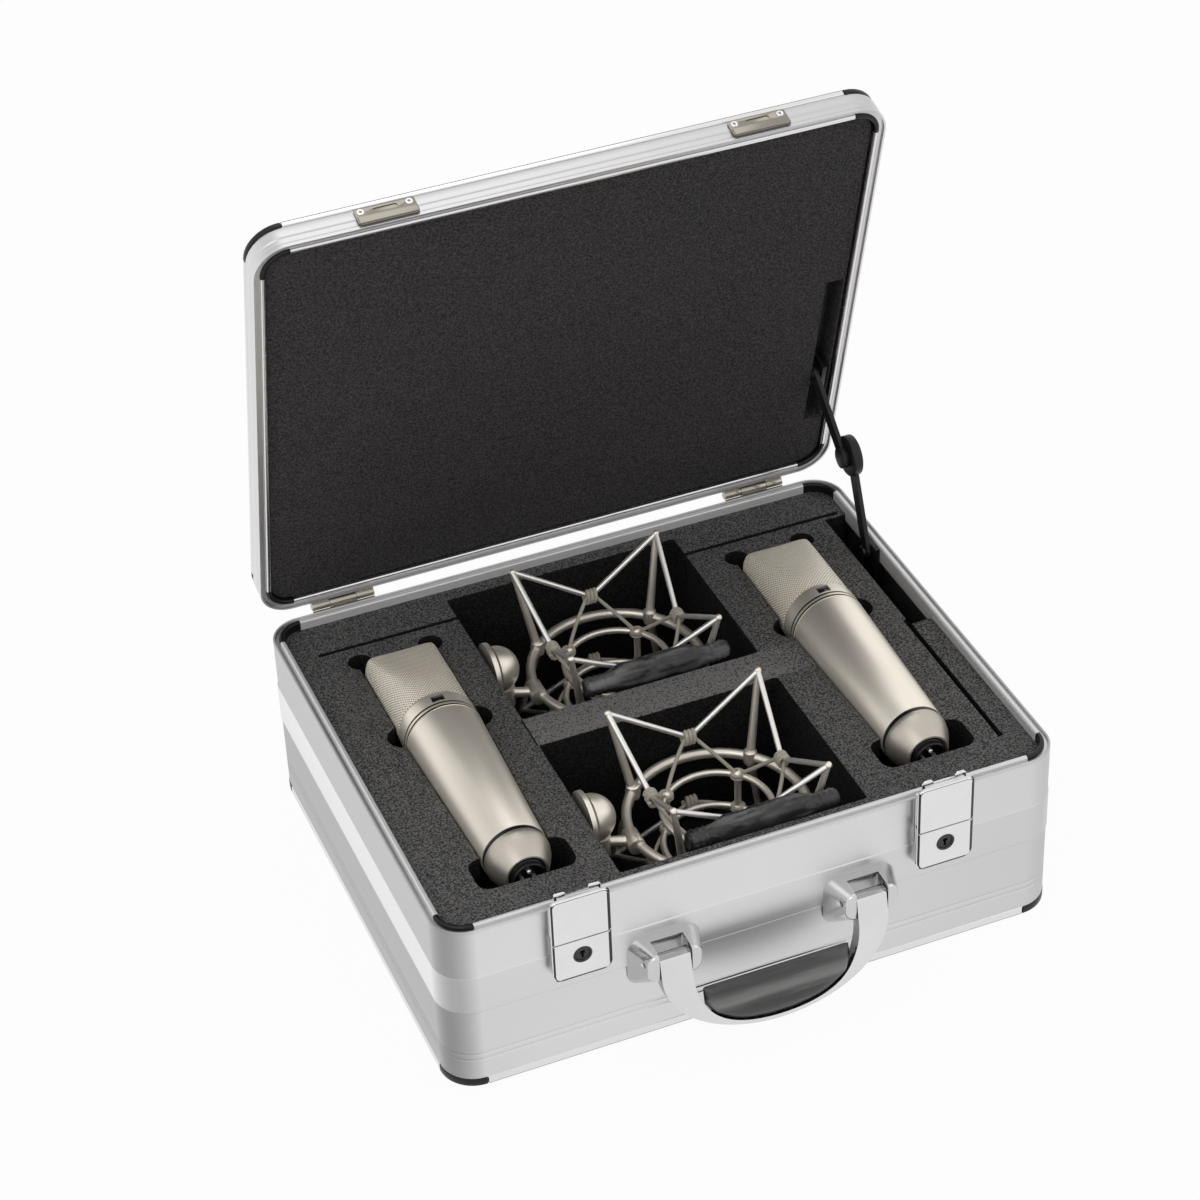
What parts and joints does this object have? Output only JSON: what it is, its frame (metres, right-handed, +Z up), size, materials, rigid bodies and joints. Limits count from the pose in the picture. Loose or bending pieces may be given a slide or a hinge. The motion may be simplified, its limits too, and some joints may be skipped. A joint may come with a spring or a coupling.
{
  "type": "microphone carrying case",
  "caption": "Hinged aluminium carrying case with draw latches, folding lid stay, bail handle and cut foam that holds microphones and elastic shock mounts.",
  "frame": {"origin": "centre of the case's flat bottom face", "axes": "+X right seen from the latches, +Y towards the hinges, +Z up; the lid stands open 75 degrees"},
  "size_m": [0.4, 0.3813, 0.448],
  "materials": {
    "shell_aluminium": "satin brushed aluminium sheet",
    "rail_aluminium": "bright drawn aluminium",
    "black_plastic": "moulded, fine grain",
    "foam": "open-cell foam, charcoal",
    "nickel": "nickel plated, polished",
    "lock_black": "black lock barrel",
    "handle_metal": "satin chromed casting",
    "grip": "soft black moulding",
    "mic_mesh": "nickel wire mesh",
    "mic_satin_nickel": "satin nickel, fine turned grain",
    "mount_metal": "satin nickel lacquer",
    "elastic": "braided elastic",
    "sleeve": "soft black sleeve"
  },
  "bodies": {
    "base": {"base_wall": "shell_aluminium", "bottom_panel": "shell_aluminium", "base_edge_rails": "rail_aluminium", "base_edge_corners": "black_plastic", "base_rim_rails": "rail_aluminium", "base_rim_corners": "black_plastic", "base_foam": "foam", "foam_floor": "foam", "hinge_leaves_base": "nickel", "hinge_screws": "nickel", "pivot_pins": "nickel", "latch_housings": "nickel", "latch_lower_plates": "nickel", "handle_brackets": "handle_metal", "stay_base_bracket": "black_plastic"},
    "lid": {"lid_wall": "shell_aluminium", "lid_panel": "shell_aluminium", "lid_edge_rails": "rail_aluminium", "lid_edge_corners": "black_plastic", "lid_rim_rails": "rail_aluminium", "lid_rim_corners": "black_plastic", "lid_foam": "foam", "hinge_leaves_lid": "nickel", "catch_plates": "nickel", "catch_rivets": "nickel", "stay_lid_bracket": "black_plastic"},
    "stay_lower": {"stay_lower_link": "black_plastic", "stay_hub": "black_plastic"},
    "stay_upper": {"stay_upper_link": "black_plastic"},
    "latch_flap_left": {"latch_flap_left": "nickel"},
    "latch_claw_left": {"latch_claw_left": "nickel"},
    "lock_left": {"lock_cylinder_left": "lock_black"},
    "latch_flap_right": {"latch_flap_right": "nickel"},
    "latch_claw_right": {"latch_claw_right": "nickel"},
    "lock_right": {"lock_cylinder_right": "lock_black"},
    "handle": {"handle_strap": "handle_metal", "handle_grip": "grip"},
    "mic_left": {"mic_left_head": "mic_mesh", "mic_left_collar": "mic_satin_nickel", "mic_left_body": "mic_satin_nickel", "mic_left_base": "mic_satin_nickel", "mic_left_connector": "black_plastic"},
    "mic_right": {"mic_right_head": "mic_mesh", "mic_right_collar": "mic_satin_nickel", "mic_right_body": "mic_satin_nickel", "mic_right_base": "mic_satin_nickel", "mic_right_connector": "black_plastic"},
    "mount_front": {"mount_front_frame": "mount_metal", "mount_front_cradle": "mount_metal", "mount_front_elastics": "elastic", "mount_front_clamp": "mount_metal", "mount_front_sleeve": "sleeve"},
    "knob_front": {"mount_front_knob": "mount_metal"},
    "mount_back": {"mount_back_frame": "mount_metal", "mount_back_cradle": "mount_metal", "mount_back_elastics": "elastic", "mount_back_clamp": "mount_metal", "mount_back_sleeve": "sleeve"},
    "knob_back": {"mount_back_knob": "mount_metal"}
  },
  "joints": [
    {"name": "lid_hinge", "type": "hinge", "parent": "base", "child": "lid", "pos_m": [0, 0.1668, 0.124], "axis": [-1, 0, 0], "range_deg": [-75, 0], "deforming": ["lid_foam"]},
    {"name": "stay_lower_swing", "type": "hinge", "parent": "base", "child": "stay_lower", "pos_m": [0.187, 0.079, 0.117], "axis": [-1, 0, 0], "range_deg": [-110, 2]},
    {"name": "stay_upper_swing", "type": "hinge", "parent": "lid", "child": "stay_upper", "pos_m": [0.1811, 0.14699, 0.217], "axis": [-1, 0, 0], "range_deg": [-2, 112]},
    {"name": "latch_flap_left_swing", "type": "hinge", "parent": "base", "child": "latch_flap_left", "pos_m": [-0.117, -0.1695, 0.102], "axis": [1, 0, 0], "range_deg": [0, 95]},
    {"name": "latch_claw_left_slide", "type": "slide", "parent": "base", "child": "latch_claw_left", "axis": [0, 0, 1], "range_m": [0, 0.0045]},
    {"name": "lock_left_turn", "type": "hinge", "parent": "base", "child": "lock_left", "pos_m": [-0.117, -0.17, 0.0885], "axis": [0, 1, 0], "range_deg": [0, 90]},
    {"name": "latch_flap_right_swing", "type": "hinge", "parent": "base", "child": "latch_flap_right", "pos_m": [0.117, -0.1695, 0.102], "axis": [1, 0, 0], "range_deg": [0, 95]},
    {"name": "latch_claw_right_slide", "type": "slide", "parent": "base", "child": "latch_claw_right", "axis": [0, 0, 1], "range_m": [0, 0.0045]},
    {"name": "lock_right_turn", "type": "hinge", "parent": "base", "child": "lock_right", "pos_m": [0.117, -0.17, 0.0885], "axis": [0, 1, 0], "range_deg": [0, 90]},
    {"name": "handle_swing", "type": "hinge", "parent": "base", "child": "handle", "pos_m": [0, -0.177, 0.071], "axis": [-1, 0, 0], "range_deg": [0, 100]},
    {"name": "mic_left_lift", "type": "slide", "parent": "base", "child": "mic_left", "axis": [0, 0, 1], "range_m": [0, 0.1]},
    {"name": "mic_right_lift", "type": "slide", "parent": "base", "child": "mic_right", "axis": [0, 0, 1], "range_m": [0, 0.1]},
    {"name": "mount_front_lift", "type": "slide", "parent": "base", "child": "mount_front", "axis": [0, 0, 1], "range_m": [0, 0.1]},
    {"name": "knob_front_turn", "type": "hinge", "parent": "mount_front", "child": "knob_front", "pos_m": [-0.0783, -0.078, 0.1035], "axis": [1, 0, 0], "range_deg": [0, 270]},
    {"name": "mount_back_lift", "type": "slide", "parent": "base", "child": "mount_back", "axis": [0, 0, 1], "range_m": [0, 0.1]},
    {"name": "knob_back_turn", "type": "hinge", "parent": "mount_back", "child": "knob_back", "pos_m": [-0.0783, 0.0812, 0.1035], "axis": [1, 0, 0], "range_deg": [0, 270]}
  ],
  "couplings": [
    {"joint": "stay_lower_swing", "follows": "lid_hinge", "ratio": 1.4389},
    {"joint": "stay_upper_swing", "follows": "lid_hinge", "ratio": -1.4516},
    {"joint": "latch_claw_left_slide", "follows": "latch_flap_left_swing", "m_per_rad": 0.0026},
    {"joint": "latch_claw_right_slide", "follows": "latch_flap_right_swing", "m_per_rad": 0.0026}
  ]
}
